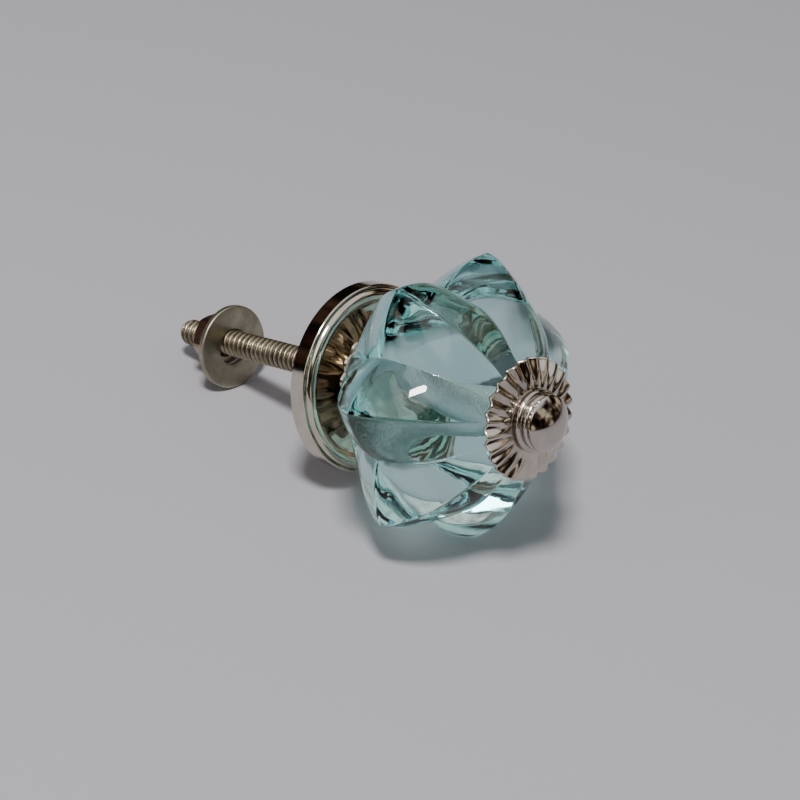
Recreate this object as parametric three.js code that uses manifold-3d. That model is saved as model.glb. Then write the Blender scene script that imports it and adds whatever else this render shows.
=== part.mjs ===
// A drawer knob: a pressed glass head with seven lobes, held between two fluted metal cups by one long
// threaded rod that also carries the domed backplate, the fixing washer and the hexagon nut.
//
// Frame: millimetres, +Z up as the knob hangs on an upright drawer front. The knob's axis is Y: the domed
// front points to -Y, the threaded rod to +Y. The origin is the centre of the backplate's rear face.
// "depth" below always means the distance in front of that rear face, so y = -depth.
import * as THREE from 'three';
import { mergeVertices } from 'three/addons/utils/BufferGeometryUtils.js';
import Module from 'manifold-3d';

// ---- driving dimensions ----

const ROD_RADIUS = 2.0;
const THREAD_PITCH = 1.0;
const THREAD_HEIGHT = 0.42;
const ROD_BEHIND = 37.7;            // how far the rod reaches behind the backplate
const ROD_THREADED = 39.0;          // length of thread, from the tip
const ROD_TIP_ROUND = 1.1;

const SEAT = 0.06;                  // gap between two pieces that are clamped face to face
const TURN_GAP = 0.35;              // gap between the turning knob and the still backplate
const HOLE_CLEAR = 0.3;             // radial clearance of the holes the rod passes through

const PLATE_RADIUS = 13.7;
const PLATE_WALL_HEIGHT = 2.6;
const PLATE_SHEET = 0.7;
const PLATE_LIP = 2.2;              // width of the rear lip that lies on the drawer front
const PLATE_BEAD_RADIUS = 1.0;      // the round bead inside the rim
const PLATE_HUB_RADIUS = 5.6;
const PLATE_HUB_DEPTH = 1.5;        // front face of the sunken centre
const PLATE_STEP = 0.55;            // width of the ledge between the rim and the bead
const PLATE_STEP_DEPTH = 0.35;      // how far the ledge lies below the rim
const PLATE_EDGE = 0.3;             // rounding of the rim and of the sheet's folds
const DISH_RISE = 0.45;             // height of the dish, half way out, above the sunken centre
const DISH_SHIFT = 0.6;             // how far outside the half way radius that height is reached
const DISH_FOOT = 1.0;              // width of the shallow slope round the sunken centre

const CUP_SHEET = 0.55;
const REAR_CUP_BASE_RADIUS = 5.4;
const REAR_CUP_RIM_RADIUS = 8.4;
const REAR_CUP_HEIGHT = 3.0;
const REAR_CUP_FLUTES = 20;
const REAR_CUP_FLARE = 0.62;        // share of the cup's widening that is reached at half its height
const CUP_CORNER = 0.35;            // height of the rounding where a cup's wall leaves its floor
const CUP_LIP = 0.2;                // height of the rounded lip
const FRONT_CUP_RIM_RADIUS = 8.5;
const FRONT_CUP_HUB_RADIUS = 4.5;
const FRONT_CUP_RISE = 0.9;
const FRONT_CUP_FLUTES = 24;
const FRONT_CUP_SAG = 0.35;         // share of the cup's fall that is reached half way out
const FLUTE_DEPTH = 0.28;

const CUSHION_THICKNESS = 0.4;
const CUSHION_RADIUS = 3.9;

const LOBES = 7;
const GLASS_TIP_RADIUS = 21.0;
const GLASS_GROOVE_RADIUS = 16.2;
const GLASS_BORE_RADIUS = 2.7;
const GLASS_LENGTH = 29.3;
const CREASE_DEPTH = 15.5;          // from the glass's rear end to the crease where the lobes are widest
const GLASS_NECK_RADIUS = 8.9;
const GLASS_FRONT_RADIUS = 8.9;
const PETAL_BULGE = 0.16;            // outward bulge of a lobe's sides, as a share of the groove depth
const RIDGE_ROUND = 0.3;            // how much the ridges are rounded off

const FERRULE_RADIUS = 4.35;
const FERRULE_HEIGHT = 2.0;
const BOSS_RADIUS = 3.0;
const DOME_RADIUS = 3.9;
const DOME_HEIGHT = 1.8;
const DOME_EDGE = 0.45;             // height of the dome's upright edge
const DOME_ROOF = 0.75;             // metal left above the blind hole

const WASHER_RADIUS = 6.3;
const WASHER_HOLE_RADIUS = 2.7;
const WASHER_THICKNESS = 0.9;
const WASHER_BACK = 27.0;            // how far behind the backplate the washer hangs
const NUT_ACROSS_FLATS = 7.0;
const NUT_THICKNESS = 3.6;
const NUT_CLEAR = 0.06;
const NUT_WASHER_GAP = 0.6;

// ---- places along the axis, worked out from the dimensions ----

const rearCupBase = PLATE_HUB_DEPTH + TURN_GAP;
const rearCupFloor = rearCupBase + CUP_SHEET;
const rearCushion = rearCupFloor + SEAT;
const glassRear = rearCushion + CUSHION_THICKNESS + SEAT;
const glassFront = glassRear + GLASS_LENGTH;
const frontCushion = glassFront + SEAT;
const frontCupUnder = frontCushion + CUSHION_THICKNESS + SEAT;
const frontCupTop = frontCupUnder + CUP_SHEET;
const ferruleBase = frontCupTop + SEAT;
const domeBase = ferruleBase + FERRULE_HEIGHT + SEAT;
const domeTop = domeBase + DOME_HEIGHT;
const blindHoleEnd = domeTop - DOME_ROOF;
const rodFront = blindHoleEnd - SEAT;
const rodHole = ROD_RADIUS + HOLE_CLEAR;

// ---- materials ----

const chrome = (color) => new THREE.MeshStandardMaterial({ color, roughness: 0.12, metalness: 1.0 });
const materials = {
  glass: new THREE.MeshStandardMaterial({ color: 0x9fc6c8, roughness: 0.05, metalness: 0.0 }),
  chrome: chrome(0xb9b2a8),
  nickel: new THREE.MeshStandardMaterial({ color: 0x8f8b7c, roughness: 0.42, metalness: 1.0 }),
  zinc: new THREE.MeshStandardMaterial({ color: 0xa8a595, roughness: 0.3, metalness: 1.0 }),
  cushion: new THREE.MeshStandardMaterial({ color: 0xe4dfca, roughness: 0.7, metalness: 0.0 }),
};

const knob = new THREE.Group();

// A named piece of the knob.
function addPiece(name, geometry, material) {
  const mesh = new THREE.Mesh(geometry, material);
  mesh.name = name;
  knob.add(mesh);
  return mesh;
}

// A solid of revolution about the knob's axis. The outline is a list of [depth, radius] pairs, given so
// that a closed loop runs from the rear, outward, to the front and back inward.
function turned(outline, segments = 64) {
  const points = outline.map(([depth, radius]) => new THREE.Vector2(radius, -depth));
  points.reverse();
  points.push(points[0].clone());
  return mergeShared(new THREE.LatheGeometry(points, segments));
}

// Joins the vertices that lie on each other, so that the surface is closed.
function mergeShared(geometry) {
  geometry.deleteAttribute('uv');
  geometry.deleteAttribute('normal');
  return mergeVertices(geometry, 1e-4);
}

// A fan of flutes pressed into a turned sheet: every point moves along the axis and outward with a
// cosine of its angle, by nothing at the hub radius and by the full depth at the rim.
function flute(geometry, count, hubRadius, rimRadius, axial, radial) {
  const position = geometry.attributes.position;
  for (let i = 0; i < position.count; i += 1) {
    const x = position.getX(i);
    const z = position.getZ(i);
    const radius = Math.hypot(x, z);
    const share = THREE.MathUtils.smoothstep(radius, hubRadius, rimRadius);
    const wave = share * Math.cos(count * Math.atan2(z, x));
    const scale = 1 + (radial * wave) / Math.max(radius, 1e-6);
    position.setXYZ(i, x * scale, position.getY(i) + axial * wave, z * scale);
  }
  return geometry;
}

// Points on a circular arc in the [depth, radius] plane, from one angle to another in degrees;
// zero degrees points outward, ninety degrees to the front.
function arc(centreDepth, centreRadius, size, from, to, steps) {
  const points = [];
  for (let i = 0; i <= steps; i += 1) {
    const angle = THREE.MathUtils.degToRad(from + ((to - from) * i) / steps);
    points.push([centreDepth + size * Math.sin(angle), centreRadius + size * Math.cos(angle)]);
  }
  return points;
}

// ---- backplate: a spun sheet with an upright rim, a bead, a dished face and a rear lip ----

function backplateGeometry() {
  const groove = PLATE_RADIUS - PLATE_STEP;
  const beadCentre = groove - PLATE_BEAD_RADIUS;
  const beadDepth = PLATE_WALL_HEIGHT - PLATE_STEP_DEPTH;
  const dishMiddle = (beadCentre - PLATE_BEAD_RADIUS + PLATE_HUB_RADIUS) / 2 + DISH_SHIFT;
  const outside = [
    [0, PLATE_RADIUS],
    [PLATE_WALL_HEIGHT - PLATE_EDGE, PLATE_RADIUS - 0.05],
    [PLATE_WALL_HEIGHT, PLATE_RADIUS - PLATE_EDGE],
    [beadDepth, groove],
    ...arc(beadDepth, beadCentre, PLATE_BEAD_RADIUS, 15, 165, 8),
    [PLATE_HUB_DEPTH + DISH_RISE, dishMiddle],
    [PLATE_HUB_DEPTH + 0.1, PLATE_HUB_RADIUS + DISH_FOOT],
    [PLATE_HUB_DEPTH, PLATE_HUB_RADIUS],
    [PLATE_HUB_DEPTH, rodHole],
  ];
  const under = PLATE_HUB_DEPTH - PLATE_SHEET;
  const inside = [
    [under, rodHole],
    [under, PLATE_HUB_RADIUS],
    [under + DISH_RISE - 0.1, dishMiddle],
    [beadDepth - PLATE_EDGE, beadCentre - PLATE_EDGE],
    [beadDepth - PLATE_EDGE, beadCentre + PLATE_EDGE],
    [under, PLATE_RADIUS - PLATE_SHEET],
    [PLATE_SHEET, PLATE_RADIUS - PLATE_SHEET],
    [PLATE_SHEET, PLATE_RADIUS - PLATE_LIP],
    [0, PLATE_RADIUS - PLATE_LIP],
  ];
  return turned([...outside, ...inside], 48);
}

// ---- the two fluted cups ----

function rearCupGeometry() {
  const rim = rearCupBase + REAR_CUP_HEIGHT;
  const middle = rearCupBase + REAR_CUP_HEIGHT / 2;
  const flared = REAR_CUP_BASE_RADIUS + (REAR_CUP_RIM_RADIUS - REAR_CUP_BASE_RADIUS) * REAR_CUP_FLARE;
  const outline = [
    [rearCupBase, rodHole],
    [rearCupBase, REAR_CUP_BASE_RADIUS - 0.5],
    [rearCupBase + CUP_CORNER, REAR_CUP_BASE_RADIUS],
    [middle, flared],
    [rim - CUP_LIP, REAR_CUP_RIM_RADIUS],
    [rim, REAR_CUP_RIM_RADIUS - 0.1],
    [rim, REAR_CUP_RIM_RADIUS - CUP_SHEET],
    [middle + CUP_CORNER, flared - CUP_SHEET],
    [rearCupFloor + CUP_LIP, REAR_CUP_BASE_RADIUS - CUP_SHEET],
    [rearCupFloor, REAR_CUP_BASE_RADIUS - CUP_SHEET - 0.4],
    [rearCupFloor, rodHole],
  ];
  const geometry = turned(outline, REAR_CUP_FLUTES * 4);
  return flute(geometry, REAR_CUP_FLUTES, REAR_CUP_BASE_RADIUS - 1, REAR_CUP_RIM_RADIUS, 0, FLUTE_DEPTH);
}

function frontCupGeometry() {
  const rimTop = frontCupTop - FRONT_CUP_RISE;
  const mid = (FRONT_CUP_RIM_RADIUS + FRONT_CUP_HUB_RADIUS) / 2;
  const outline = [
    [frontCupUnder, rodHole],
    [frontCupUnder, FRONT_CUP_HUB_RADIUS - 0.2],
    [frontCupUnder - FRONT_CUP_RISE * FRONT_CUP_SAG, mid],
    [rimTop - CUP_SHEET, FRONT_CUP_RIM_RADIUS - 0.3],
    [rimTop - CUP_SHEET * 0.6, FRONT_CUP_RIM_RADIUS],
    [rimTop, FRONT_CUP_RIM_RADIUS - 0.15],
    [frontCupTop - FRONT_CUP_RISE * FRONT_CUP_SAG, mid],
    [frontCupTop, FRONT_CUP_HUB_RADIUS],
    [frontCupTop, rodHole],
  ];
  const geometry = turned(outline, FRONT_CUP_FLUTES * 4);
  const hub = FRONT_CUP_HUB_RADIUS + 0.05;
  return flute(geometry, FRONT_CUP_FLUTES, hub, FRONT_CUP_RIM_RADIUS, -FLUTE_DEPTH, 0.12);
}

// ---- glass head ----

const RIDGE_ANGLE = 0.07;           // half width of the rounding, in radians
const NECK_START = 1.5;             // how far into the glass its neck stays round
const GROOVE_RUN_OUT = 0.55;        // how much shallower the grooves are at the front cup
const BACK_SHARES = [[0.16, 0.2], [0.31, 0.4], [0.46, 0.57], [0.66, 0.78], [0.85, 0.925]];
const FRONT_SHARES = [
  [0.16, 0.05], [0.31, 0.14], [0.46, 0.25], [0.61, 0.39], [0.74, 0.55], [0.86, 0.74], [0.94, 0.88],
];

// Radius of one lobe's outline at an angle from its groove, on the straight side between groove and
// ridge, with a slight outward bulge and a rounded ridge.
function petalRadius(angle, grooveRadius, ridgeRadius) {
  const half = Math.PI / LOBES;
  const fold = Math.abs(((angle % (2 * half)) + 2 * half) % (2 * half));
  const fromGroove = half - Math.abs(fold - half);
  const top = grooveRadius * ridgeRadius * Math.sin(half);
  const side = top / (grooveRadius * Math.sin(fromGroove) + ridgeRadius * Math.sin(half - fromGroove));
  const depth = ridgeRadius - grooveRadius;
  const bulge = PETAL_BULGE * depth * Math.sin((Math.PI * fromGroove) / half);
  const nearRidge = Math.exp(-(((half - fromGroove) / RIDGE_ANGLE) ** 2));
  const round = (RIDGE_ROUND * nearRidge * depth) / (GLASS_TIP_RADIUS - GLASS_GROOVE_RADIUS);
  return side + bulge - round;
}

// How far the grooves cut in, as a share of the ridge radius, along the glass. The neck is almost round,
// the crease is deepest and the grooves run out again towards the front cup.
function grooveShare(depth) {
  const deepest = GLASS_GROOVE_RADIUS / GLASS_TIP_RADIUS;
  const crease = glassRear + CREASE_DEPTH;
  const rise = THREE.MathUtils.smoothstep(depth, glassRear + NECK_START, crease - CREASE_DEPTH * 0.35);
  const fall = THREE.MathUtils.smoothstep(depth, crease, glassFront);
  return 1 - (1 - deepest) * rise * (1 - GROOVE_RUN_OUT * fall);
}

// Points of the ridge between two [depth, radius] ends, from shares of the way along and outward.
function shared(shares, from, to) {
  return shares.map(([along, out]) => [
    from[0] + (to[0] - from[0]) * along,
    from[1] + (to[1] - from[1]) * out,
  ]);
}

// The ridge of a lobe is turned about the axis, then every ring but the bore and the neck is drawn in to
// the lobed outline.
function glassGeometry() {
  const shoulder = glassFront - FRONT_CUP_RISE - FLUTE_DEPTH - HOLE_CLEAR;
  const cupClear = REAR_CUP_RIM_RADIUS - CUP_SHEET - FLUTE_DEPTH - HOLE_CLEAR - 0.25;
  const seat = rearCupBase + REAR_CUP_HEIGHT + HOLE_CLEAR;
  const neckEnd = [seat + 0.25, GLASS_NECK_RADIUS];
  const crease = [glassRear + CREASE_DEPTH, GLASS_TIP_RADIUS];
  const frontEnd = [shoulder, GLASS_FRONT_RADIUS];
  const ridge = [
    [glassRear, GLASS_BORE_RADIUS],
    [glassRear, REAR_CUP_BASE_RADIUS - CUP_SHEET - 1.0],
    [seat - HOLE_CLEAR * 1.5, cupClear - 0.35],
    [seat, cupClear],
    neckEnd,
    ...shared(BACK_SHARES, neckEnd, crease),
    crease,
    ...shared(FRONT_SHARES, crease, frontEnd),
    frontEnd,
    [glassFront, FRONT_CUP_HUB_RADIUS - HOLE_CLEAR],
    [glassFront, GLASS_BORE_RADIUS],
  ];
  const geometry = turned(ridge, LOBES * 10);
  const position = geometry.attributes.position;
  for (let i = 0; i < position.count; i += 1) {
    const x = position.getX(i);
    const z = position.getZ(i);
    const depth = -position.getY(i);
    const radius = Math.hypot(x, z);
    if (radius > GLASS_NECK_RADIUS - 0.5) {
      const fromGroove = Math.atan2(z, x) - Math.PI / 2;
      const lobed = petalRadius(fromGroove, radius * grooveShare(depth), radius);
      position.setX(i, (x * lobed) / radius);
      position.setZ(i, (z * lobed) / radius);
    }
  }
  return geometry;
}

// ---- turned pieces on the front ----

function ringGeometry(depth, thickness, innerRadius, outerRadius, edge) {
  return turned([
    [depth, innerRadius],
    [depth, outerRadius - edge],
    [depth + edge, outerRadius],
    [depth + thickness - edge, outerRadius],
    [depth + thickness, outerRadius - edge],
    [depth + thickness, innerRadius],
  ], 32);
}

function ferruleGeometry() {
  const step = FERRULE_HEIGHT / 2;
  const waist = FERRULE_RADIUS - 0.45;
  const bore = BOSS_RADIUS + HOLE_CLEAR * 0.5;
  return turned([
    [ferruleBase, bore],
    [ferruleBase, FERRULE_RADIUS - 0.25],
    ...arc(ferruleBase + step / 2, FERRULE_RADIUS - 0.4, step / 2 - 0.05, -60, 60, 4),
    [ferruleBase + step, waist],
    ...arc(ferruleBase + step * 1.5, waist - 0.1, step / 2 - 0.05, -60, 60, 4),
    [ferruleBase + FERRULE_HEIGHT, waist - 0.2],
    [ferruleBase + FERRULE_HEIGHT, bore],
  ], 32);
}

// The dome is a low spherical cap on an upright edge, with a boss behind it that is tapped for the rod.
function domeGeometry() {
  const capHeight = DOME_HEIGHT - DOME_EDGE;
  const sphere = (DOME_RADIUS ** 2 + capHeight ** 2) / (2 * capHeight);
  const half = Math.asin(DOME_RADIUS / sphere);
  const cap = [];
  for (let i = 0; i <= 8; i += 1) {
    const angle = half * (1 - i / 8);
    cap.push([domeTop - sphere * (1 - Math.cos(angle)), sphere * Math.sin(angle)]);
  }
  cap[cap.length - 1][1] = 0;
  const socket = ROD_RADIUS + NUT_CLEAR;
  return turned([
    [blindHoleEnd, 0],
    [blindHoleEnd, socket],
    [ferruleBase + SEAT, socket],
    [ferruleBase + SEAT, BOSS_RADIUS],
    [domeBase, BOSS_RADIUS],
    [domeBase, DOME_RADIUS - 0.15],
    [domeBase + 0.15, DOME_RADIUS],
    ...cap,
  ], 32);
}

// ---- threaded rod ----

function rodGeometry() {
  const tip = -ROD_BEHIND;
  const turns = Math.floor((ROD_THREADED - ROD_TIP_ROUND) / THREAD_PITCH);
  const root = ROD_RADIUS - THREAD_HEIGHT;
  const outline = [
    [tip, 0],
    [tip, root - 0.7],
    [tip + ROD_TIP_ROUND * 0.35, root - 0.2],
    [tip + ROD_TIP_ROUND, root],
  ];
  for (let i = 0; i < turns; i += 1) {
    const start = tip + ROD_TIP_ROUND + i * THREAD_PITCH;
    outline.push([start + THREAD_PITCH * 0.5, ROD_RADIUS]);
    outline.push([start + THREAD_PITCH, root]);
  }
  const shank = (ROD_RADIUS + root) / 2;
  outline.push([tip + ROD_TIP_ROUND + turns * THREAD_PITCH + 0.2, shank]);
  outline.push([rodFront, shank]);
  outline.push([rodFront, 0]);
  return turned(outline, 16);
}

// ---- nut: a hexagon with a bore, its corners taken off by a shallow double cone ----

const wasm = await Module();
wasm.setup();

function solidOf(geometry) {
  const merged = mergeShared(geometry);
  const mesh = new wasm.Mesh({
    numProp: 3,
    vertProperties: Float32Array.from(merged.attributes.position.array),
    triVerts: Uint32Array.from(merged.index.array),
  });
  return new wasm.Manifold(mesh);
}

function geometryOf(solid) {
  const mesh = solid.getMesh();
  const geometry = new THREE.BufferGeometry();
  geometry.setAttribute('position', new THREE.BufferAttribute(mesh.vertProperties, 3));
  geometry.setIndex(new THREE.BufferAttribute(mesh.triVerts, 1));
  return geometry;
}

function nutGeometry() {
  const corner = NUT_ACROSS_FLATS / Math.sqrt(3);
  const hexagon = new THREE.Shape();
  for (let i = 0; i < 6; i += 1) {
    const angle = (Math.PI / 3) * i + Math.PI / 6;
    const x = corner * Math.cos(angle);
    const y = corner * Math.sin(angle);
    if (i === 0) {
      hexagon.moveTo(x, y);
    } else {
      hexagon.lineTo(x, y);
    }
  }
  hexagon.closePath();
  const bore = new THREE.Path();
  bore.absarc(0, 0, ROD_RADIUS + NUT_CLEAR, 0, 2 * Math.PI, true);
  hexagon.holes.push(bore);
  const prism = new THREE.ExtrudeGeometry(hexagon, {
    depth: NUT_THICKNESS,
    bevelEnabled: false,
    curveSegments: 12,
  });
  prism.rotateX(-Math.PI / 2);
  prism.translate(0, WASHER_BACK + WASHER_THICKNESS + NUT_WASHER_GAP, 0);
  const front = -(WASHER_BACK + WASHER_THICKNESS + NUT_WASHER_GAP);
  const back = front - NUT_THICKNESS;
  const flat = NUT_ACROSS_FLATS / 2 - 0.1;
  const chamfer = (corner - flat) * 0.6;
  const barrel = turned([
    [back - 0.5, 0],
    [back - 0.5, flat - 0.83],
    [back + chamfer, corner + 0.1],
    [front - chamfer, corner + 0.1],
    [front + 0.5, flat - 0.83],
    [front + 0.5, 0],
  ], 36);
  return geometryOf(solidOf(prism).intersect(solidOf(barrel)));
}

function washerGeometry() {
  const depth = -(WASHER_BACK + WASHER_THICKNESS);
  const geometry = ringGeometry(depth, WASHER_THICKNESS, WASHER_HOLE_RADIUS, WASHER_RADIUS, 0.12);
  // The washer hangs on the rod, so its centre lies below the axis by the slack in its hole.
  const slack = WASHER_HOLE_RADIUS - ROD_RADIUS - NUT_CLEAR;
  geometry.translate(0, 0, -slack);
  return geometry;
}

// ---- the knob ----

addPiece('backplate', backplateGeometry(), materials.chrome);
addPiece('rear_fluted_cup', rearCupGeometry(), materials.chrome);
addPiece('rear_cushion', ringGeometry(rearCushion, CUSHION_THICKNESS, rodHole, CUSHION_RADIUS - 0.6, 0.05),
  materials.cushion);
addPiece('glass_head', glassGeometry(), materials.glass);
addPiece('front_cushion', ringGeometry(frontCushion, CUSHION_THICKNESS, rodHole, CUSHION_RADIUS, 0.05),
  materials.cushion);
addPiece('front_fluted_cup', frontCupGeometry(), materials.chrome);
addPiece('stepped_ferrule', ferruleGeometry(), materials.chrome);
addPiece('dome_head', domeGeometry(), materials.chrome);
addPiece('threaded_rod', rodGeometry(), materials.zinc);
addPiece('washer', washerGeometry(), materials.nickel);
addPiece('hex_nut', nutGeometry(), materials.nickel);

export default knob;
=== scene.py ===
# %% [markdown]
# # A pressed-glass drawer knob
# The real thing is a stack of pieces on one threaded rod: backplate, fluted cup, glass head, a second
# fluted cup, a stepped ferrule and a domed head, with a washer and a nut behind the drawer front.
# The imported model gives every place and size, so it is loaded first and never moved.

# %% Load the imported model
import math

import bmesh
import bpy
import numpy as np
from mathutils import Matrix, Vector


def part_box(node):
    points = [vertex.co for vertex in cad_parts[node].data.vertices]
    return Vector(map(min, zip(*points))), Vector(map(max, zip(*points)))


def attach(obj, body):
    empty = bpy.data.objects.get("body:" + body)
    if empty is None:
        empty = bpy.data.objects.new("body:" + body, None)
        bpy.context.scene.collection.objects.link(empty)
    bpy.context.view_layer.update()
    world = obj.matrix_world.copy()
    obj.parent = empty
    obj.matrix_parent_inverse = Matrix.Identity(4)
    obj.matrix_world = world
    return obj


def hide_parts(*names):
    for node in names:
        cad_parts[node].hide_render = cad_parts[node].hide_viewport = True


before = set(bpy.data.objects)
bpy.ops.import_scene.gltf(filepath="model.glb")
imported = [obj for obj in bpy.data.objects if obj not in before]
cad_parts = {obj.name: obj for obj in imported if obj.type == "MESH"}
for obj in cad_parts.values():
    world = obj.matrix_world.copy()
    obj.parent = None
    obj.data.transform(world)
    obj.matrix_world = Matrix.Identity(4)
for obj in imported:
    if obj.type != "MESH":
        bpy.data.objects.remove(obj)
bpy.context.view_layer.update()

# %% [markdown]
# The knob is round about the Y axis, with its domed front towards -Y. "Depth" is the distance in
# front of the backplate's rear face, in millimetres, so y = -depth. Each piece takes its own
# depths and radius from the box of the solid it stands for.

# %% Places along the axis
MM = 0.001


def span(node):
    """Rear depth, front depth, outer radius and centre height of a solid, in millimetres."""
    low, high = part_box(node)
    width = (high.x - low.x) / 2
    return -high.y / MM, -low.y / MM, width / MM, (high.z + low.z) / 2 / MM


# %% [markdown]
# Every piece is one grid of points: rings along a profile, spokes round the axis. Joining the grid
# into a mesh is the same for all of them, so it is written once. Poles are closed by merging the
# points that fall together, and normals are then turned outwards.

# %% Grids and profiles
def curve(points, steps=6):
    """A smooth run through the points: between two neighbours, a cubic whose slope at each point is
    half the way from the point before it to the point after it."""
    p = np.asarray(points, float)
    e = np.vstack([2 * p[0] - p[1], p, 2 * p[-1] - p[-2]])
    a, b, c, d = (e[i:len(e) - 3 + i] for i in range(4))
    t = np.linspace(0, 1, steps, endpoint=False)[:, None, None]
    run = 0.5 * (2 * b + (c - a) * t + (2 * a - 5 * b + 4 * c - d) * t**2
                 + (3 * b - a - 3 * c + d) * t**3)
    return np.vstack([run.transpose(1, 0, 2).reshape(-1, 2), p[-1]])


def rounded(centre, radius, start, end, steps=8):
    """Points on an arc of [depth, radius]: centre plus radius times sine and cosine of the angle, in
    degrees, where 0 points outwards and 90 to the front."""
    angle = np.radians(np.linspace(start, end, steps))
    return np.stack([centre[0] + radius * np.sin(angle), centre[1] + radius * np.cos(angle)], 1)


def spokes(count):
    """Evenly spaced angles round the axis."""
    return np.linspace(0, 2 * np.pi, count, endpoint=False)


def round_about_axis(depth, radius, angle, lift=0.0):
    """Points at x = radius cos angle, y = -depth, z = radius sin angle + lift."""
    depth, radius, angle = np.broadcast_arrays(depth, radius, angle)
    return np.stack([radius * np.cos(angle), -depth, radius * np.sin(angle) + lift], -1)


def skin(name, grid, sharp=32.0):
    """A closed mesh from a grid of rings by spokes, in millimetres: each cell has corners (i, j),
    (i, j+1), (i+1, j+1) and (i+1, j), and both directions close on themselves."""
    rings, count = grid.shape[:2]
    number = np.arange(rings * count).reshape(rings, count)
    right, up = np.roll(number, -1, 1), np.roll(number, -1, 0)
    cells = np.stack([number, right, np.roll(up, -1, 1), up], -1).reshape(-1, 4)
    mesh = bpy.data.meshes.new(name)
    mesh.from_pydata(grid.reshape(-1, 3) * MM, [], cells.tolist())
    work = bmesh.new()
    work.from_mesh(mesh)
    bmesh.ops.remove_doubles(work, verts=work.verts, dist=2e-7)
    bmesh.ops.dissolve_degenerate(work, edges=work.edges, dist=1e-8)
    bmesh.ops.recalc_face_normals(work, faces=work.faces)
    work.to_mesh(mesh)
    work.free()
    mesh.shade_smooth()
    mesh.set_sharp_from_angle(angle=math.radians(sharp))
    piece = bpy.data.objects.new(name, mesh)
    bpy.context.scene.collection.objects.link(piece)
    print(f"{name}: {len(mesh.polygons)} faces")
    return piece


def place(piece, node, body, slot, *finishes):
    """Gives a piece its finishes and its body, and hides the solid it stands for. The slot argument is not
    used.
    """
    for finish in finishes:
        piece.data.materials.append(finish)
    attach(piece, body)
    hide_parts(node)
    return piece


# %% [markdown]
# ## Finishes
# Plated metal is never quite even: the plating is cloudy, it has hairlines from polishing and its
# roughness drifts. One node group makes all three, and each metal places it with its own values.
# It puts out only a colour, a roughness and a normal; the shader stays in the material.

# %% The plating group
def socket(group, name, kind, default=None, out=False):
    """Adds one named socket to a group."""
    made = group.interface.new_socket(name, in_out="OUTPUT" if out else "INPUT", socket_type=kind)
    if default is not None:
        made.default_value = default


def add(tree, kind, **values):
    """Adds a node and sets its properties and plain inputs by name."""
    node = tree.nodes.new(kind)
    for key, value in values.items():
        if key in node.inputs:
            node.inputs[key].default_value = value
        else:
            setattr(node, key, value)
    return node


MIX_A, MIX_B, MIX_OUT = 6, 7, 2  # a Mix node's colour sockets, which share names with its number ones


def plating_group():
    """Cloud noise mixes two colours and drives roughness; stretched noise makes hairlines that a
    bump turns into a normal."""
    g = bpy.data.node_groups.new("plating", "ShaderNodeTree")
    socket(g, "Light", "NodeSocketColor", (0.7, 0.68, 0.64, 1))
    socket(g, "Dull", "NodeSocketColor", (0.5, 0.48, 0.44, 1))
    socket(g, "Smooth", "NodeSocketFloat", 0.08)
    socket(g, "Rough", "NodeSocketFloat", 0.2)
    socket(g, "Cloud Scale", "NodeSocketFloat", 220.0)
    socket(g, "Hairlines", "NodeSocketFloat", 0.05)
    socket(g, "Color", "NodeSocketColor", out=True)
    socket(g, "Roughness", "NodeSocketFloat", out=True)
    socket(g, "Normal", "NodeSocketVector", out=True)
    i, o = add(g, "NodeGroupInput"), add(g, "NodeGroupOutput")
    where = add(g, "ShaderNodeTexCoord")
    cloud = add(g, "ShaderNodeTexNoise", Detail=6.0, Roughness=0.65)
    fine = add(g, "ShaderNodeTexNoise", Scale=2600.0, Detail=3.0)
    stretch = add(g, "ShaderNodeMapping", Scale=(6.0, 0.35, 6.0))
    hair = add(g, "ShaderNodeTexNoise", Scale=900.0, Detail=4.0, Roughness=0.7)
    even = add(g, "ShaderNodeMapRange")
    even.inputs["From Min"].default_value, even.inputs["From Max"].default_value = 0.36, 0.66
    mix = add(g, "ShaderNodeMix", data_type="RGBA")
    rough = add(g, "ShaderNodeMapRange")
    both = add(g, "ShaderNodeMath", operation="MULTIPLY_ADD")
    bump = add(g, "ShaderNodeBump", Distance=0.00006)
    link = g.links.new
    for noise in (cloud, fine):
        link(where.outputs["Object"], noise.inputs["Vector"])
    link(where.outputs["Object"], stretch.inputs["Vector"])
    link(stretch.outputs[0], hair.inputs["Vector"])
    link(i.outputs["Cloud Scale"], cloud.inputs["Scale"])
    link(cloud.outputs[0], even.inputs["Value"])
    link(even.outputs[0], mix.inputs["Factor"])
    link(i.outputs["Light"], mix.inputs[MIX_A])
    link(i.outputs["Dull"], mix.inputs[MIX_B])
    link(fine.outputs[0], both.inputs[0])
    both.inputs[1].default_value = 0.4  # how much the fine grain counts beside the clouds
    link(even.outputs[0], both.inputs[2])
    link(both.outputs[0], rough.inputs["Value"])
    rough.inputs["From Max"].default_value = 1.3
    link(i.outputs["Smooth"], rough.inputs["To Min"])
    link(i.outputs["Rough"], rough.inputs["To Max"])
    link(hair.outputs[0], bump.inputs["Height"])
    link(i.outputs["Hairlines"], bump.inputs["Strength"])
    link(mix.outputs[MIX_OUT], o.inputs["Color"])
    link(rough.outputs[0], o.inputs["Roughness"])
    link(bump.outputs[0], o.inputs["Normal"])
    return g


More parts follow.
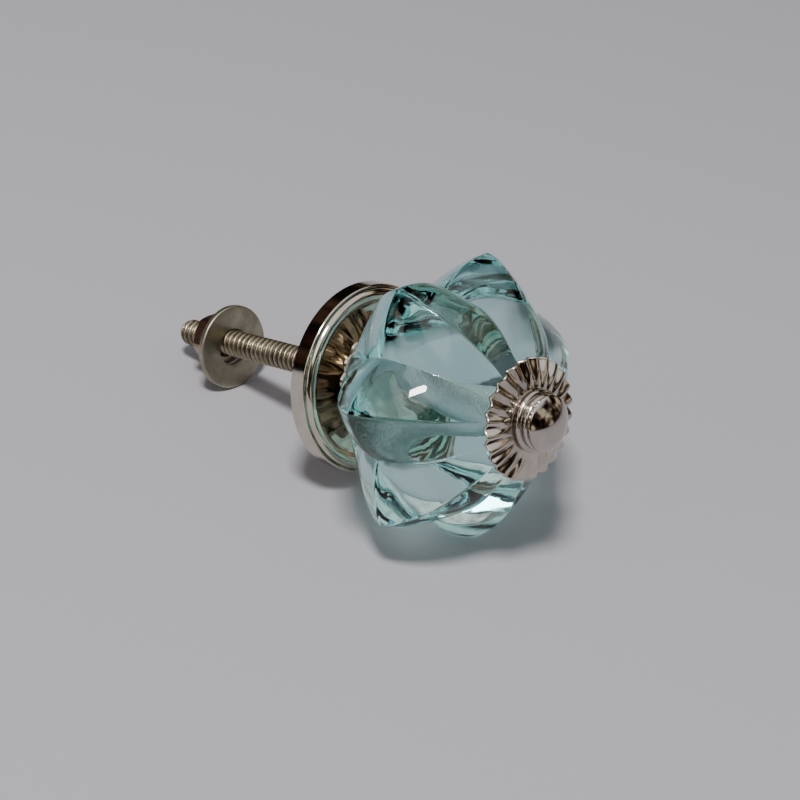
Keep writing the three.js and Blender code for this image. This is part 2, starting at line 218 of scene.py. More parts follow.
def root_shade_group():
    """A mask that is 1 inside a small radius from the knob's axis and falls to 0 at a larger one,
    broken up by noise: it paints shade into the roots of a thread."""
    g = bpy.data.node_groups.new("thread_root_shade", "ShaderNodeTree")
    socket(g, "Root Radius", "NodeSocketFloat", 0.0016)
    socket(g, "Crest Radius", "NodeSocketFloat", 0.002)
    socket(g, "Mask", "NodeSocketFloat", out=True)
    i, o = add(g, "NodeGroupInput"), add(g, "NodeGroupOutput")
    where = add(g, "ShaderNodeTexCoord")
    flat = add(g, "ShaderNodeVectorMath", operation="MULTIPLY")
    flat.inputs[1].default_value = (1, 0, 1)
    size = add(g, "ShaderNodeVectorMath", operation="LENGTH")
    fall = add(g, "ShaderNodeMapRange")
    fall.inputs["To Min"].default_value, fall.inputs["To Max"].default_value = 1.0, 0.0
    noise = add(g, "ShaderNodeTexNoise", Scale=420.0, Detail=5.0)
    patchy = add(g, "ShaderNodeMapRange")
    patchy.inputs["From Min"].default_value, patchy.inputs["From Max"].default_value = 0.25, 0.6
    patchy.inputs["To Min"].default_value = 0.35
    times = add(g, "ShaderNodeMath", operation="MULTIPLY")
    link = g.links.new
    link(where.outputs["Object"], flat.inputs[0])
    link(flat.outputs[0], size.inputs[0])
    link(size.outputs["Value"], fall.inputs["Value"])
    link(i.outputs["Root Radius"], fall.inputs["From Min"])
    link(i.outputs["Crest Radius"], fall.inputs["From Max"])
    link(where.outputs["Object"], noise.inputs["Vector"])
    link(noise.outputs[0], patchy.inputs["Value"])
    link(fall.outputs[0], times.inputs[0])
    link(patchy.outputs[0], times.inputs[1])
    link(times.outputs[0], o.inputs["Mask"])
    return g


PLATING, ROOT_SHADE = plating_group(), root_shade_group()
print("groups", PLATING.name, ROOT_SHADE.name)


# %% [markdown]
# Bright plating is warm nickel over brass; the rod, washer and nut are duller. A metal is then just
# the group's values on a plain metallic shader, with painted shade added in the roots of a thread.

# %% The metals
# Dark colour painted into the roots of the rod's thread as shade.
ROOT_SHADE_COLOUR = (0.045, 0.036, 0.026, 1)


def blank(name):
    """A material with an empty Principled shader, and its tree."""
    material = bpy.data.materials.new(name)
    material.use_nodes = True
    return material, material.node_tree, material.node_tree.nodes["Principled BSDF"]


def metal(name, light, dull, smooth, rough, cloud=220.0, hairlines=0.05, thread=None):
    """Plated metal: the plating group on a metallic shader; thread = (root, crest) radii adds painted
    shade in the thread's roots.
    """
    material, tree, shader = blank(name)
    shader.inputs["Metallic"].default_value = 1.0
    plate = add(tree, "ShaderNodeGroup", node_tree=PLATING)
    values = {"Light": (*light, 1), "Dull": (*dull, 1), "Smooth": smooth, "Rough": rough,
              "Cloud Scale": cloud, "Hairlines": hairlines}
    for key, value in values.items():
        plate.inputs[key].default_value = value
    colour = plate.outputs["Color"]
    if thread:
        # Painted shade: the thread's roots are mixed towards the dark root colour.
        painted_shade = add(tree, "ShaderNodeGroup", node_tree=ROOT_SHADE)
        painted_shade.inputs["Root Radius"].default_value, painted_shade.inputs["Crest Radius"].default_value = thread
        mix = add(tree, "ShaderNodeMix", data_type="RGBA")
        mix.inputs[MIX_B].default_value = ROOT_SHADE_COLOUR
        tree.links.new(painted_shade.outputs[0], mix.inputs["Factor"])
        tree.links.new(colour, mix.inputs[MIX_A])
        colour = mix.outputs[MIX_OUT]
    tree.links.new(colour, shader.inputs["Base Color"])
    tree.links.new(plate.outputs["Roughness"], shader.inputs["Roughness"])
    tree.links.new(plate.outputs["Normal"], shader.inputs["Normal"])
    return material


plate_chrome = metal("plate_chrome", (0.68, 0.64, 0.55), (0.55, 0.50, 0.41), 0.03, 0.09, 160.0, 0.03)
cup_chrome = metal("cup_chrome", (0.60, 0.55, 0.49), (0.46, 0.41, 0.35), 0.06, 0.16, 260.0, 0.06)
head_chrome = metal("head_chrome", (0.55, 0.515, 0.475), (0.43, 0.39, 0.35), 0.04, 0.11, 240.0, 0.04)
# The rod's thread roots get painted shade.
rod_steel = metal("rod_steel", (0.42, 0.365, 0.26), (0.26, 0.22, 0.15), 0.24, 0.42, 380.0, 0.2,
                  thread=(0.00165, 0.00199))
dull_nickel = metal("dull_nickel", (0.44, 0.41, 0.33), (0.28, 0.26, 0.20), 0.26, 0.46, 300.0, 0.25)
nut_nickel = metal("nut_nickel", (0.46, 0.38, 0.31), (0.30, 0.235, 0.185), 0.14, 0.34, 240.0, 0.15)
print("metals", [m.name for m in (plate_chrome, cup_chrome, head_chrome, rod_steel, dull_nickel,
                                  nut_nickel)])


# %% [markdown]
# Pressed glass is tinted through its whole body, so the colour comes from absorption over the length
# of a ray, and thick parts turn teal by themselves. Its skin has faint flow ripples from the mould.
# The drilled bore is ground, so it scatters light and shows as a pale tube inside the head.

# %% The glass
def glass(name, roughness, ripple, ripple_scale, fine, fine_scale):
    """Clear tinted glass: full transmission, absorption inside, and a bump of broad ripples plus a
    finer grain, height = ripple noise + fine noise."""
    material, tree, shader = blank(name)
    shader.inputs["Base Color"].default_value = (0.87, 0.945, 0.945, 1)
    shader.inputs["Roughness"].default_value = roughness
    shader.inputs["IOR"].default_value = 1.5
    shader.inputs["Transmission Weight"].default_value = 1.0
    where = add(tree, "ShaderNodeTexCoord")
    drawn = add(tree, "ShaderNodeMapping", Scale=(1.0, 0.3, 1.0))
    broad = add(tree, "ShaderNodeTexNoise", Scale=ripple_scale, Detail=2.0, Distortion=1.2)
    grain = add(tree, "ShaderNodeTexNoise", Scale=fine_scale, Detail=4.0)
    first = add(tree, "ShaderNodeBump", Strength=ripple, Distance=0.0006)
    second = add(tree, "ShaderNodeBump", Strength=fine, Distance=0.00008)
    link = tree.links.new
    link(where.outputs["Object"], drawn.inputs["Vector"])
    link(drawn.outputs[0], broad.inputs["Vector"])
    link(where.outputs["Object"], grain.inputs["Vector"])
    link(broad.outputs[0], first.inputs["Height"])
    link(grain.outputs[0], second.inputs["Height"])
    link(first.outputs[0], second.inputs["Normal"])
    link(second.outputs[0], shader.inputs["Normal"])
    inside = add(tree, "ShaderNodeVolumeAbsorption")
    inside.inputs["Color"].default_value = (0.36, 0.85, 0.86, 1)
    inside.inputs["Density"].default_value = 26.0
    link(inside.outputs[0], tree.nodes["Material Output"].inputs["Volume"])
    return material


pressed_glass = glass("pressed_glass", 0.0, 0.05, 160.0, 0.03, 1400.0)
ground_bore = glass("ground_bore", 0.42, 0.25, 420.0, 0.9, 2600.0)
print("glass", pressed_glass.name, ground_bore.name)


# %% [markdown]
# ## Glass head
# Seven lobes, each a soft ridge between two V grooves, widest at one crease. The ridge is a profile
# turned about the axis; each ring is then drawn in towards the grooves. A straight line from groove to
# ridge is too hard and an arc is too soft, so a lobe is a mix of both, like glass pressed in a mould.

# %% Shape of a lobe
LOBES = 7
HALF = math.pi / LOBES
ROUNDNESS = 0.42                    # share of the arc in a lobe's outline; the rest is straight
RIDGE_DROP, RIDGE_WIDTH = 0.04, 0.06  # how much is taken off a ridge, and over what angle
GROOVE_CUT, RUN_OUT = 0.229, 0.55   # groove depth over ridge radius, and how far it runs out in front
ROUND_NECK, FULL_AT = 1.5, 0.65     # where grooves start, and the share of the way at which they are full


def petal(angle, ridge, share):
    """Radius at an angle from a groove, a mix of two outlines. Straight: the line from groove (share of
    ridge) to ridge. Arc: c cos b + sqrt(q^2 - c^2 sin^2 b), the circle of centre distance c and radius
    q through both, with b the angle from the ridge. A bell takes a little off the ridge."""
    a = HALF - np.abs(np.mod(angle, 2 * HALF) - HALF)
    b = HALF - a
    low = ridge * share
    side = low * ridge * math.sin(HALF) / (low * np.sin(a) + ridge * np.sin(b))
    c = (ridge**2 - low**2) / (2 * (ridge - low * math.cos(HALF)))
    q = ridge - c
    round_side = c * np.cos(b) + np.sqrt(np.maximum(q**2 - (c * np.sin(b)) ** 2, 0))
    bell = np.exp(-(b / RIDGE_WIDTH) ** 2)
    return side + ROUNDNESS * (round_side - side) - RIDGE_DROP * (ridge - low) * bell


def ease(value, start, end):
    """Smooth step from 0 at start to 1 at end: 3t^2 - 2t^3."""
    t = np.clip((value - start) / (end - start), 0, 1)
    return t * t * (3 - 2 * t)


def groove_share(depth, rear, crease, front):
    """Groove radius over ridge radius along the glass: 1 at the round neck, least at the crease, and
    part of the way back to 1 at the front cup."""
    cut = ease(depth, rear + ROUND_NECK, rear + (crease - rear) * FULL_AT)
    return 1 - GROOVE_CUT * cut * (1 - RUN_OUT * ease(depth, crease, front))


# %% [markdown]
# The head itself is one closed outline: back of the lobes, front of the lobes, and the drilled bore. The
# outline of a ridge is a smooth curve through a few shares of the way along and outward. Only rings
# wider than the neck get lobes, so both ends stay round where the cups grip them.

# %% Build the head
glass_rear, glass_front, _, _ = span("glass_head")
cup_rear, cup_front, _, _ = span("rear_fluted_cup")
TIP, NECK, BORE = 21.0, 8.9, 2.7    # radii of a ridge at its widest, of the neck and of the bore
TO_CREASE = 15.5                    # depth from the rear face to the widest ring
NECK_RISE = 0.55                    # the lobes start this far in front of the rear cup
FRONT_DROP = 1.48                   # and end this far behind the front face
LOBED_FROM, WAVED_FROM = 8.4, 9.5   # radii past which a ring has lobes, and a faint wave from the mould
WAVE = 0.02
crease = glass_rear + TO_CREASE
neck_depth = cup_front + NECK_RISE
shoulder = glass_front - FRONT_DROP
back_way = np.array([0, 0.16, 0.31, 0.46, 0.66, 0.85, 1.0])
back_out = np.array([0, 0.2, 0.4, 0.57, 0.78, 0.925, 1.0])
front_way = np.array([0, 0.16, 0.31, 0.46, 0.61, 0.74, 0.86, 0.94, 1.0])
front_out = np.array([0, 0.05, 0.14, 0.25, 0.39, 0.55, 0.74, 0.88, 1.0])
back = curve(np.stack([neck_depth + (crease - neck_depth) * back_way,
                       NECK + (TIP - NECK) * back_out], 1), 7)
front = curve(np.stack([crease + (shoulder - crease) * front_way,
                        TIP - (TIP - NECK) * front_out], 1), 6)
bore_run = np.linspace(glass_front, glass_rear, 60)[:, None]
outline = np.vstack([
    [[glass_rear, 3.4], [glass_rear + 0.9, 3.9], [neck_depth - 0.7, 6.75], [neck_depth - 0.25, 7.1]],
    back[:-1], front, [[glass_front - 0.35, 6.0], [glass_front, 4.2]],
    np.hstack([bore_run, np.full_like(bore_run, BORE)]),
])
depth = outline[:, :1]
angle = spokes(LOBES * 48)
share = groove_share(depth, glass_rear, crease, glass_front)
lobed = petal(angle - math.pi / 2, outline[:, 1:], share)
ring = np.where(outline[:, 1:] > LOBED_FROM, lobed, outline[:, 1:])
wave = WAVE * np.sin(3 * angle + 0.45 * depth) * np.sin(0.31 * depth + 2 * angle)
ring = ring + np.where(ring > WAVED_FROM, wave, 0)
head = skin("glass_head_fine", round_about_axis(depth, ring, angle), sharp=50)
place(head, "glass_head", "knob", "pressed_glass", pressed_glass, ground_bore)
centre = np.empty(len(head.data.polygons) * 3)
head.data.polygons.foreach_get("center", centre)
centre = centre.reshape(-1, 3)
in_bore = np.hypot(centre[:, 0], centre[:, 2]) < (BORE + 0.05) * MM
head.data.polygons.foreach_set("material_index", in_bore.astype(np.int32))
print("bore faces", int(in_bore.sum()))


# %% [markdown]
# ## Fluted cups
# A cup is a thin spun sheet with pressed flutes: the closed outline of the sheet is turned, then every
# point is lifted and pushed out by a wave that grows from the hub to the rim. Pressed flutes have
# round crests and tighter valleys, so the wave is a power of a cosine's size, and not a cosine.

# %% Flutes
CREST = 1.3  # above 1 the valleys open out, below 1 they close up


def fluted(name, outline, count, hub, rim, axial, radial):
    """Turns the outline and adds wave * growth: wave = 2 |cos(count/2 angle)|^CREST - 1, growth = smooth
    step of radius from hub to rim; axial moves along the depth, radial moves outward."""
    angle = spokes(count * 16)
    wave = 2 * np.abs(np.cos(count * angle / 2)) ** CREST - 1
    growth = ease(outline[:, 1:], hub, rim)
    return skin(name, round_about_axis(outline[:, :1] + axial * growth * wave,
                                       outline[:, 1:] + radial * growth * wave, angle), sharp=40)


# %% [markdown]
# The rear cup holds the glass's neck. Its wall flares quickly at first and then steepens, so the outline
# passes through a waist at half its height. Its flutes only push outwards, and its rim stays level.

# %% Rear cup
ROD_HOLE, SHEET = 2.3, 0.55
WAIST = 0.62                        # share of the flare that is reached at half the height
REAR_FLUTES, REAR_PUSH = 20, 0.26
base, wall = 5.4, 3.0
rear_outer = curve([[cup_rear, base - 0.6], [cup_rear + 0.35, base], [cup_rear + 1.5, base + wall * WAIST],
                    [cup_front - 0.25, base + wall]], 5)
rear_inner = curve([[cup_front - 0.02, base + wall - SHEET + 0.05],
                    [cup_rear + 1.85, base + wall * WAIST - SHEET], [cup_rear + SHEET + 0.2, base - SHEET],
                    [cup_rear + SHEET, base - SHEET - 0.5]], 5)
rear_cup = fluted("rear_cup_fine", np.vstack([[[cup_rear, ROD_HOLE]], rear_outer,
                  [[cup_front, base + wall - 0.15]], rear_inner, [[cup_rear + SHEET, ROD_HOLE]]]),
                  REAR_FLUTES, base - 1, base + wall, 0.0, REAR_PUSH)
place(rear_cup, "rear_fluted_cup", "knob", "cup_chrome", cup_chrome)

# %% [markdown]
# The front cup is the fan of flutes round the dome. It is shallow, so its flutes show as light and dark
# spokes: they rise and fall along the axis, and push the rim out only a little.

# %% Front cup
_, fc_front, _, _ = span("front_fluted_cup")
rim, hub, rise = 8.4, 4.5, 0.9
SAG = 0.35                          # share of the fall that is reached half way out
FRONT_FLUTES, FRONT_LIFT, FRONT_PUSH = 24, 0.34, 0.045
top = curve([[fc_front, hub], [fc_front - rise * SAG, (rim + hub) / 2],
             [fc_front - rise, rim - 0.15]], 10)
under = top[::-1] - [SHEET, 0.0]
lip = rounded((fc_front - rise - SHEET / 2, rim - 0.15), SHEET / 2, 80, -80, 7)
front_cup = fluted("front_cup_fine", np.vstack([[[fc_front, ROD_HOLE]], top, lip, under,
                   [[fc_front - SHEET, ROD_HOLE]]]), FRONT_FLUTES, hub - 0.4, rim, FRONT_LIFT,
                   FRONT_PUSH)
place(front_cup, "front_fluted_cup", "knob", "cup_chrome", cup_chrome)


# %% [markdown]
# ## Backplate, ferrule and domed head
# These are plain turned pieces, so the whole shape is in the outline. It could be drawn as a curve and
# spun with a modifier, but a profile of numbers keeps every edge and radius readable.

# %% Turned pieces
def turned(name, outline, count=160, lift=0.0, sharp=32.0):
    """Turns a closed outline of [depth, radius] about the axis."""
    outline = np.asarray(outline, float)
    return skin(name, round_about_axis(outline[:, :1], outline[:, 1:], spokes(count), lift), sharp)


# %% [markdown]
# The backplate is a spun sheet: an upright wall, a narrow ledge, a round bead, a shallow dish down to a
# flat centre, and a lip turned in at the back. The bead catches most of the light, so it has most points.

# %% Backplate
_, _, plate_r, _ = span("backplate")
bead_r, bead_depth, BEAD = plate_r - 1.55, 2.25, 1.0
CENTRE_R, CENTRE_DEPTH = 5.6, 1.5
PLATE_SHEET, UNDER, LIP = 0.7, 0.8, 2.2  # sheet, depth of the centre's rear side, width of the lip
dish = curve([[2.25, bead_r - 1.02], [1.98, bead_r - 1.5], [1.7, (bead_r + 4.6) / 2 + 0.6],
              [1.55, 6.8], [CENTRE_DEPTH, CENTRE_R]], 8)
plate = turned("backplate_fine", np.vstack([
    [[0, plate_r - 0.12], [0.1, plate_r]], [[2.3, plate_r - 0.04]],
    rounded((2.34, plate_r - 0.3), 0.26, 0, 90, 7), [[2.3, plate_r - 0.52]],
    rounded((bead_depth, bead_r), BEAD, 12, 168, 22), dish,
    [[CENTRE_DEPTH, ROD_HOLE], [UNDER, ROD_HOLE], [UNDER, CENTRE_R], [1.1, 8.5],
     [1.95, bead_r - 0.3], [1.95, bead_r + 0.3], [UNDER, plate_r - PLATE_SHEET],
     [PLATE_SHEET, plate_r - PLATE_SHEET], [PLATE_SHEET, plate_r - LIP], [0.0, plate_r - LIP]],
]), 200)
place(plate, "backplate", "plate", "plate_chrome", plate_chrome)

# %% [markdown]
# The ferrule is two rounded rings of different size, one on the other, that lift the dome off the cup.

# %% Ferrule
FERRULE_BORE, FLAT_EDGE = 3.15, 0.05  # bore, and how much of a ring's height its round leaves flat
fer_rear, fer_front, fer_r, _ = span("stepped_ferrule")
step = (fer_front - fer_rear) / 2
ferrule = turned("ferrule_fine", np.vstack([
    [[fer_rear, FERRULE_BORE], [fer_rear, fer_r - 0.3]],
    rounded((fer_rear + step / 2, fer_r - step / 2 + FLAT_EDGE), step / 2 - FLAT_EDGE, -80, 80, 14),
    [[fer_rear + step, fer_r - 0.62]],
    rounded((fer_rear + step * 1.5, fer_r - step / 2 - 0.4), step / 2 - FLAT_EDGE, -80, 80, 14),
    [[fer_front, fer_r - 0.95], [fer_front, FERRULE_BORE]],
]), 128)
place(ferrule, "stepped_ferrule", "knob", "head_chrome", head_chrome)

# %% [markdown]
# The domed head is a screw cap: a low part of a ball on an upright edge, with a tapped boss behind it.
# The ball's radius follows from the cap's width and height, (width^2 + height^2) / (2 height).

# %% Domed head
SEAT, DOME_EDGE, DOME_ROOF, DOME_BREAK = 0.06, 0.45, 0.75, 0.12
BOSS, hole = 3.0, 2.06
boss_rear, dome_top, dome_r, _ = span("dome_head")
edge_depth = fer_front + SEAT
cap_height = dome_top - edge_depth - DOME_EDGE
ball = (dome_r**2 + cap_height**2) / (2 * cap_height)
tilt = np.linspace(math.asin((dome_r - DOME_BREAK) / ball), 0, 26)
cap = np.stack([dome_top - ball * (1 - np.cos(tilt)), ball * np.sin(tilt)], 1)
dome = turned("dome_fine", np.vstack([
    [[dome_top - DOME_ROOF, 0], [dome_top - DOME_ROOF, hole], [boss_rear, hole], [boss_rear, BOSS],
     [edge_depth, BOSS], [edge_depth, dome_r - DOME_BREAK]],
    rounded((edge_depth + DOME_BREAK, dome_r - DOME_BREAK), DOME_BREAK, -80, 0, 4),
    [[edge_depth + 0.4, dome_r]],
    cap,
]), 128)
place(dome, "dome_head", "knob", "head_chrome", head_chrome)

# %% [markdown]
# ## Cushions
# A thin fibre ring keeps metal off glass at each end. It can't be seen from outside, but the head would
# chip without it. Its material is dense felt: a warm grey with a fine fibre bump.

# %% Fibre and cushion rings
felt, felt_tree, felt_shader = blank("fibre")
felt_where = add(felt_tree, "ShaderNodeTexCoord")
felt_noise = add(felt_tree, "ShaderNodeTexNoise", Scale=1800.0, Detail=6.0)
felt_tone = add(felt_tree, "ShaderNodeValToRGB")
felt_tone.color_ramp.elements[0].color = (0.42, 0.39, 0.33, 1)
felt_tone.color_ramp.elements[1].color = (0.66, 0.63, 0.55, 1)
felt_bump = add(felt_tree, "ShaderNodeBump", Strength=0.5, Distance=0.0001)
felt_tree.links.new(felt_where.outputs["Object"], felt_noise.inputs["Vector"])
felt_tree.links.new(felt_noise.outputs[0], felt_tone.inputs[0])
felt_tree.links.new(felt_tone.outputs[0], felt_shader.inputs["Base Color"])
felt_tree.links.new(felt_noise.outputs[0], felt_bump.inputs["Height"])
felt_tree.links.new(felt_bump.outputs[0], felt_shader.inputs["Normal"])
felt_shader.inputs["Roughness"].default_value = 0.85

for node in ("rear_cushion", "front_cushion"):
    r0, r1, outer, _ = span(node)
    middle, half = (r0 + r1) / 2, (r1 - r0) / 2
    inner = ROD_HOLE + half
    cushion = turned(node + "_fine", np.vstack([
        rounded((middle, outer - half), half, -90, 90, 9),
        rounded((middle, inner), half, 90, 270, 9)]), 96)
    place(cushion, node, "knob", "cushion", felt)


# %% [markdown]
# ## Threaded rod
# A screw thread is a radius that depends on one number: how far along the pitch a point is once its
# angle is taken off. With that phase the crest runs round the rod as a helix. The nut's bore uses
# the same formula with a little clearance.

# %% Thread
PITCH, ROD_R, ROOT = 1.0, 2.0, 1.58
ROOT_FLAT, FLANK = 0.16, 0.62  # shares of the wave that are cut flat at the root, and that slope


def thread(depth, angle, root, crest):
    """Radius of a thread: phase = depth / pitch - angle / (2 pi); a triangle wave of the phase with
    its crest and root cut flat, between root and crest."""
    phase = np.mod(depth / PITCH - angle / (2 * np.pi), 1.0)
    flank = 1 - np.abs(2 * phase - 1)
    return root + (crest - root) * np.clip((flank - ROOT_FLAT) / FLANK, 0, 1)


# %% [markdown]
# The rod is threaded for most of its length, then runs out into a plain shank inside the head. Its tip is
# rounded by taking the smaller of the thread and a nose that grows with the root of the distance.

# %% Rod
THREADED, NOSE_START, NOSE_GROWTH, NOSE_LENGTH = 39.0, 0.95, 1.05, 1.2
rod_rear, rod_front, _, _ = span("threaded_rod")
angle = spokes(56)
run = np.arange(rod_rear + 0.02, rod_front, PITCH / 16)[:, None]
smooth_from = rod_rear + THREADED
shank = (ROD_R + ROOT) / 2
cut = ease(run, smooth_from, smooth_from + PITCH)
body = thread(run, angle, ROOT, ROD_R) * (1 - cut) + shank * cut
nose = NOSE_START + NOSE_GROWTH * np.sqrt(np.clip((run - rod_rear) / NOSE_LENGTH, 0, 1))
body = np.minimum(body, nose)
pole = np.zeros((1, len(angle)))
rod_depth = np.vstack([[[rod_rear]], run, [[rod_front]], [[rod_front]]])
rod_radius = np.vstack([pole, body, body[-1:], pole])
rod = skin("threaded_rod_fine", round_about_axis(rod_depth, rod_radius, angle), sharp=60)
place(rod, "threaded_rod", "knob", "rod_steel", rod_steel)

# %% [markdown]
# ## Washer and nut
# The washer is punched, so one edge is rolled over and the other is crisp. Its hole is wider than the
# rod, so it hangs a little low, and the lift that its solid's box gives is used for that.

# %% Washer
WASHER_HOLE, ROLL, HOLE_ROLL = 2.75, 0.28, 0.2
w_rear, w_front, w_r, w_lift = span("washer")
washer = turned("washer_fine", np.vstack([
    [[w_rear, WASHER_HOLE], [w_rear, w_r - 0.1], [w_rear + 0.08, w_r]],
    rounded((w_front - ROLL, w_r - ROLL), ROLL, 0, 90, 8),
    rounded((w_front - HOLE_ROLL, 2.9), HOLE_ROLL, 90, 180, 6)]), 128, lift=w_lift)
place(washer, "washer", "washer", "dull_nickel", dull_nickel)

# %% [markdown]
# The nut is a hexagon with a shallow cone taken off both faces: its outline is the smaller of the two
# radii at every point. Its corners are eased by a narrow bell, and its bore repeats the rod's thread.

# %% Nut
n_rear, n_front, _, _ = span("hex_nut")
FLAT, CONE_START, CONE_SLOPE = 3.5, 0.12, 1.6
CORNER_DROP, CORNER_WIDTH = 0.06, 0.05
MOUTH = 0.35                        # how much the bore widens at its two ends
SIXTH = math.pi / 3
angle = spokes(240)
hexagon = FLAT / np.cos(np.mod(angle, SIXTH) - math.pi / 6)
from_corner = np.mod(angle + math.pi / 6, SIXTH) - math.pi / 6
hexagon = hexagon - CORNER_DROP * np.exp(-(from_corner / CORNER_WIDTH) ** 2)
side = np.linspace(n_rear, n_front, 40)[:, None]
near_face = np.minimum(side - n_rear, n_front - side)
outside = np.minimum(hexagon, FLAT - CONE_START + CONE_SLOPE * near_face)
bore_side = np.linspace(n_front, n_rear, 72)[:, None]
flare = MOUTH * ease(-np.minimum(bore_side - n_rear, n_front - bore_side), -0.4, 0.0)
inside = np.maximum(thread(bore_side, angle, ROOT + 0.12, ROD_R + 0.06), ROD_R + 0.02) + flare
nut = skin("hex_nut_fine", round_about_axis(np.vstack([side, bore_side]),
                                            np.vstack([outside, inside]), angle), sharp=28)
place(nut, "hex_nut", "nut", "dull_nickel", nut_nickel)

# %% [markdown]
# ## Floor, camera and light
# The knob lies on a table: it rests on the lowest lobe and on the washer's rim. The model can't be turned,
# so the floor is: its tilt is searched by halving until it touches both.

# %% Floor
def lowest(node, up):
    """Least height of a solid's points along the direction up."""
    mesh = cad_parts[node].data
    points = np.empty(len(mesh.vertices) * 3, np.float32)
    mesh.vertices.foreach_get("co", points)
    return float((points.reshape(-1, 3) @ np.array(up)).min())


FLOOR_HALF = 3  # metres
near, far = 0.05, 0.6
for _ in range(40):
    slope = (near + far) / 2
    up = Vector((0, -slope, 1)).normalized()
    if lowest("washer", up) > lowest("glass_head", up):
        near = slope
    else:
        far = slope
ground = min(lowest("washer", up), lowest("glass_head", up))
print("floor normal", [round(v, 3) for v in up], "height", round(ground * 1000, 2))
floor_mesh = bpy.data.meshes.new("floor")
side_way = Vector((1, 0, 0))
long_way = up.cross(side_way)
corners = [up * ground + side_way * a * FLOOR_HALF + long_way * b * FLOOR_HALF for a, b in
           ((-1, -1), (1, -1), (1, 1), (-1, 1))]
floor_mesh.from_pydata([tuple(c) for c in corners], [], [(0, 1, 2, 3)])
floor = bpy.data.objects.new("floor", floor_mesh)
bpy.context.scene.collection.objects.link(floor)
paper, _, paper_shader = blank("floor_paper")
paper_shader.inputs["Base Color"].default_value = (0.50, 0.49, 0.515, 1)
paper_shader.inputs["Roughness"].default_value = 0.9
paper_shader.inputs["Specular IOR Level"].default_value = 0.1
floor.data.materials.append(paper)

# %% [markdown]
# The camera looks down on the front and one side through a long lens, which keeps the rod's far end from
# shrinking. A small shift centres the knob without turning the camera.

# %% Camera
DISTANCE = 0.37143
eye = Vector((-0.64159, -0.68805, 0.33905)).normalized()
right = Vector((0.70538, -0.70289, -0.09161)).normalized()
high = eye.cross(right)
camera = bpy.data.objects.new("camera", bpy.data.cameras.new("camera"))
bpy.context.scene.collection.objects.link(camera)
camera.data.sensor_width, camera.data.lens = 36.0, 117.0
camera.data.shift_x, camera.data.shift_y = 0.0498, -0.0306
camera.matrix_world = Matrix.Translation(eye * DISTANCE) @ Matrix((right, high, eye)).transposed().to_4x4()
camera.data.clip_start, camera.data.clip_end = 0.01, 20
bpy.context.scene.camera = camera
print("camera", [round(v, 3) for v in camera.matrix_world.translation])

# %% [markdown]
# One soft lamp almost overhead gives the short shadow under the knob, and a weak warm one opens the side
# that faces the camera. Both are placed from the floor's own upright, so they follow its tilt.

# %% Lights
def lamp(name, place_at, size, power, colour):
    """A square soft light aimed at the knob."""
    data = bpy.data.lights.new(name, "AREA")
    data.size, data.energy, data.color = size, power, colour
    made = bpy.data.objects.new(name, data)
    bpy.context.scene.collection.objects.link(made)
    made.location = place_at
    made.rotation_euler = Vector(place_at).to_track_quat("Z", "Y").to_euler()
    made.visible_camera = False
    print(f"{name}: {power} W")


near_side = (eye - up * eye.dot(up)).normalized()
left = up.cross(near_side) * -1
lamp("window", up * 0.84 + near_side * 0.36 + left * 0.10, 0.16, 7.8, (1.0, 0.985, 0.99))
lamp("fill", up * 0.35 + near_side * 0.5 + left * 0.75, 0.35, 0.5, (1.0, 0.93, 0.84))

# %% [markdown]
# The room has three looks. The floor is lit by a plain pale surround, and the camera sees the same.
# Polished metal needs dark walls with bright patches, or it looks like plaster. Glass needs a gentler
# mix, because it gathers light from everywhere. The Light Path node picks the look by the kind of ray.

# %% Room
def mixed(tree, share, first, second):
    """A colour between two, by a share from 0 to 1; each end is a socket or a plain colour."""
    node = add(tree, "ShaderNodeMix", data_type="RGBA")
    tree.links.new(share, node.inputs["Factor"])
    for place_in, end in ((MIX_A, first), (MIX_B, second)):
        if isinstance(end, tuple):
            node.inputs[place_in].default_value = end
        else:
            tree.links.new(end, node.inputs[place_in])
    return node.outputs[MIX_OUT]


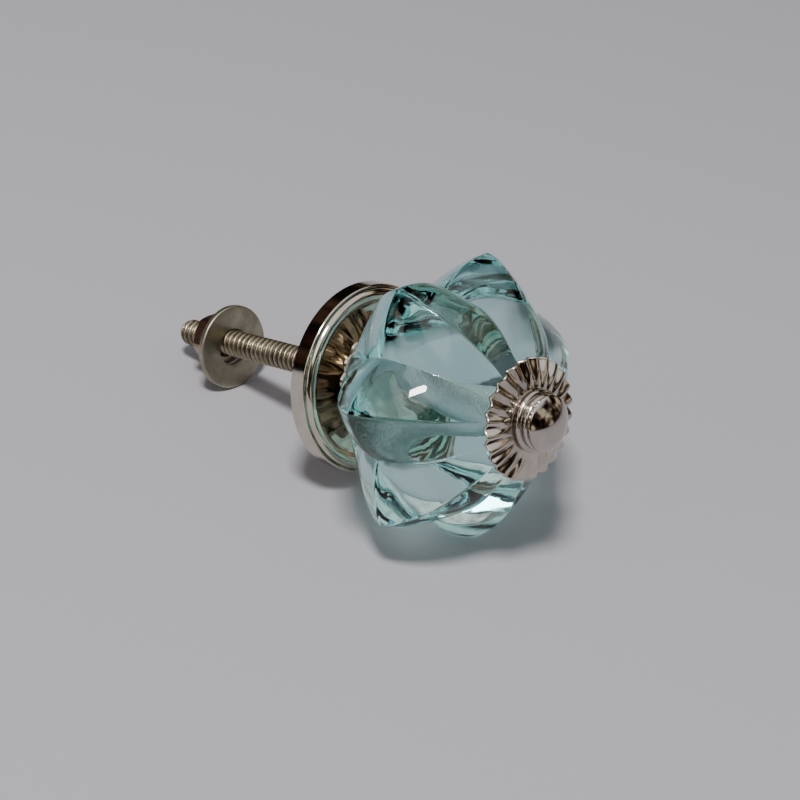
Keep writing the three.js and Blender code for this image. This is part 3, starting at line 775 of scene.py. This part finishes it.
def patch(tree, ray, towards, start, end):
    """A soft round patch of the room: the cosine between a ray and a direction, from start to end."""
    dot = add(tree, "ShaderNodeVectorMath", operation="DOT_PRODUCT")
    dot.inputs[1].default_value = tuple(Vector(towards).normalized())
    tree.links.new(ray, dot.inputs[0])
    edge = add(tree, "ShaderNodeMapRange", interpolation_type="SMOOTHSTEP")
    tree.links.new(dot.outputs["Value"], edge.inputs["Value"])
    edge.inputs["From Min"].default_value, edge.inputs["From Max"].default_value = start, end
    return edge.outputs[0]


world = bpy.data.worlds.new("room")
bpy.context.scene.world = world
world.use_nodes = True
room = world.node_tree
ray = add(room, "ShaderNodeTexCoord").outputs["Generated"]
walls = add(room, "ShaderNodeTexNoise", Scale=2.6, Detail=2.0)
room.links.new(ray, walls.inputs["Vector"])
tones = add(room, "ShaderNodeValToRGB")
ramp = tones.color_ramp
ramp.elements[0].position, ramp.elements[0].color = 0.42, (0.010, 0.008, 0.007, 1)
ramp.elements[1].position, ramp.elements[1].color = 0.50, (0.085, 0.045, 0.032, 1)
for stop, tone in ((0.56, (0.26, 0.23, 0.18, 1)), (0.61, (0.95, 0.80, 0.55, 1)),
                   (0.68, (1.35, 1.25, 1.1, 1))):
    ramp.elements.new(stop).color = tone
room.links.new(walls.outputs[0], tones.inputs[0])
ceiling = patch(room, ray, up, 0.66, 0.80)
dark_door = patch(room, ray, left - near_side * 0.5 + up * 0.1, 0.93, 0.97)
window_patch = patch(room, ray, eye + up * 0.55 + left * 0.2, 0.93, 0.96)
shade = mixed(room, ceiling, tones.outputs[0], (1.55, 1.57, 1.58, 1))
shade = mixed(room, dark_door, shade, (0.28, 0.07, 0.04, 1))
shade = mixed(room, window_patch, shade, (3.0, 2.95, 2.85, 1))
path_kind = add(room, "ShaderNodeLightPath").outputs
through = add(room, "ShaderNodeTexNoise", Scale=5.0, Detail=3.0)
room.links.new(ray, through.inputs["Vector"])
soft = add(room, "ShaderNodeValToRGB")
low, high_end = soft.color_ramp.elements
low.position, low.color = 0.36, (0.55, 0.56, 0.56, 1)
high_end.position, high_end.color = 0.62, (1.6, 1.55, 1.42, 1)
room.links.new(through.outputs[0], soft.inputs[0])
plain = (0.42, 0.415, 0.43, 1)
shade = mixed(room, path_kind["Is Glossy Ray"], plain, shade)
shade = mixed(room, path_kind["Is Transmission Ray"], shade, soft.outputs[0])
surround = room.nodes["Background"]
room.links.new(shade, surround.inputs["Color"])
surround.inputs["Strength"].default_value = 0.62
print("room nodes", len(room.nodes))
